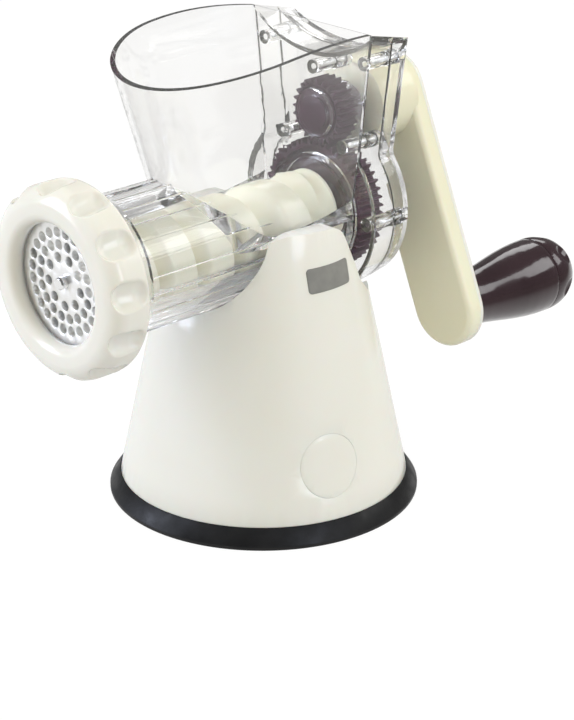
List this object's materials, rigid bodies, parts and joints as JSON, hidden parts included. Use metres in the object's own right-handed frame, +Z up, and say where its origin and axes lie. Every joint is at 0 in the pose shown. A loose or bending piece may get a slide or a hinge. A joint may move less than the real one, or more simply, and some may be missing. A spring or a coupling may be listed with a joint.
{
  "type": "hand crank meat grinder",
  "caption": "Hand crank meat grinder with suction foot, clear hopper, faceted barrel and gear case, feed screw, blade, perforated plate, ring nut and crank.",
  "frame": {"origin": "centre of the foot on the table", "axes": "+Z up, -Y out of the outlet, +Y towards the crank"},
  "size_m": [0.1566, 0.303, 0.2348],
  "materials": {
    "cream_plastic": "smooth glossy moulded plastic",
    "clear_plastic": "clear polished moulded plastic",
    "aubergine_plastic": "satin moulded plastic",
    "knob_plastic": "glossy moulded plastic",
    "dark_plastic": "plain moulded plastic",
    "rubber": "smooth black rubber",
    "steel": "stainless, finely ground"
  },
  "bodies": {
    "housing": {"foot_ring": "rubber", "suction_membrane": "rubber", "floor_plate": "dark_plastic", "floor_screws": "steel", "base_cone": "cream_plastic", "pivot_cap": "cream_plastic", "hopper_body": "clear_plastic", "body_screws": "steel", "gear_cover": "clear_plastic", "cover_screws": "steel"},
    "crank": {"crank_arm": "cream_plastic", "crank_cover": "cream_plastic", "crank_washer": "steel", "crank_screw": "steel", "drive_pinion": "aubergine_plastic", "knob_axle": "steel"},
    "knob": {"handle_grip": "knob_plastic", "handle_cap": "knob_plastic"},
    "auger": {"auger": "cream_plastic", "auger_gear": "aubergine_plastic", "auger_pin": "steel", "cutter_blade": "steel"},
    "plate": {"die_plate": "steel"},
    "nut": {"ring_nut": "cream_plastic"},
    "lever": {"suction_lever": "aubergine_plastic", "lever_screw": "steel", "cam_shaft": "dark_plastic"},
    "stem": {"suction_stem": "dark_plastic", "stem_screw": "steel"}
  },
  "joints": [
    {"name": "auger_spin", "type": "hinge", "parent": "housing", "child": "auger", "pos_m": [0, 0, 0.1394], "axis": [0, 1, 0], "continuous": true},
    {"name": "crank_spin", "type": "hinge", "parent": "housing", "child": "crank", "pos_m": [0, 0, 0.18676], "axis": [0, 1, 0], "continuous": true},
    {"name": "knob_spin", "type": "hinge", "parent": "crank", "child": "knob", "pos_m": [0.04374, 0.1, 0.08322], "axis": [0, 1, 0], "continuous": true},
    {"name": "nut_turn", "type": "hinge", "parent": "plate", "child": "nut", "pos_m": [0, -0.12, 0.1394], "axis": [0, -1, 0], "range_deg": [0, 720]},
    {"name": "plate_slide", "type": "slide", "parent": "housing", "child": "plate", "axis": [0, -1, 0], "range_m": [0, 0.0121]},
    {"name": "lever_turn", "type": "hinge", "parent": "housing", "child": "lever", "pos_m": [0, 0, 0.0353], "axis": [0.9694, -0.2453, 0], "range_deg": [0, 90]},
    {"name": "stem_lift", "type": "slide", "parent": "housing", "child": "stem", "axis": [0, 0, 1], "range_m": [0, 0.0026], "deforming": ["suction_membrane"]}
  ],
  "couplings": [
    {"joint": "crank_spin", "follows": "auger_spin", "ratio": -2.0833},
    {"joint": "plate_slide", "follows": "nut_turn", "m_per_rad": 0.00095493},
    {"joint": "stem_lift", "follows": "lever_turn", "m_per_rad": 0.0015915}
  ]
}
